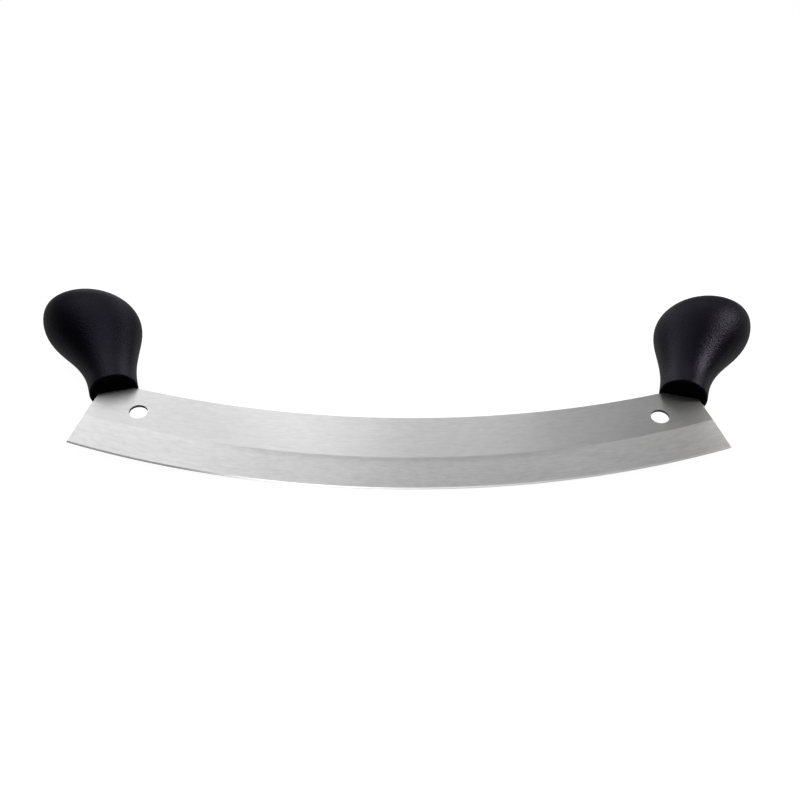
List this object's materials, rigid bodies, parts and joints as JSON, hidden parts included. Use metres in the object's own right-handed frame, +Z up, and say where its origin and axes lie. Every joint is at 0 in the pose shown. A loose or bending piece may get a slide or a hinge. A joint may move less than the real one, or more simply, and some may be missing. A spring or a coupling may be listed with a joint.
{
  "type": "mezzaluna",
  "caption": "Arched rocking knife for chopping: a long crescent of ground steel with a hang hole near each tip and a moulded bulb handle standing up from each end.",
  "frame": {"origin": "middle of the footprint, at the height of the table that the knife lies on", "axes": "+X along the blade towards the right handle, +Y from the cutting edge towards the handles, +Z up from the table"},
  "size_m": [0.4058, 0.1388, 0.0441],
  "materials": {
    "blade_steel": "satin, brushed along the blade",
    "core_plastic": "plain moulded",
    "grip_plastic": "fine moulded grain"
  },
  "bodies": {
    "root": {"blade": "blade_steel", "left_handle_core": "core_plastic", "left_handle_grip": "grip_plastic", "right_handle_core": "core_plastic", "right_handle_grip": "grip_plastic"}
  },
  "joints": []
}
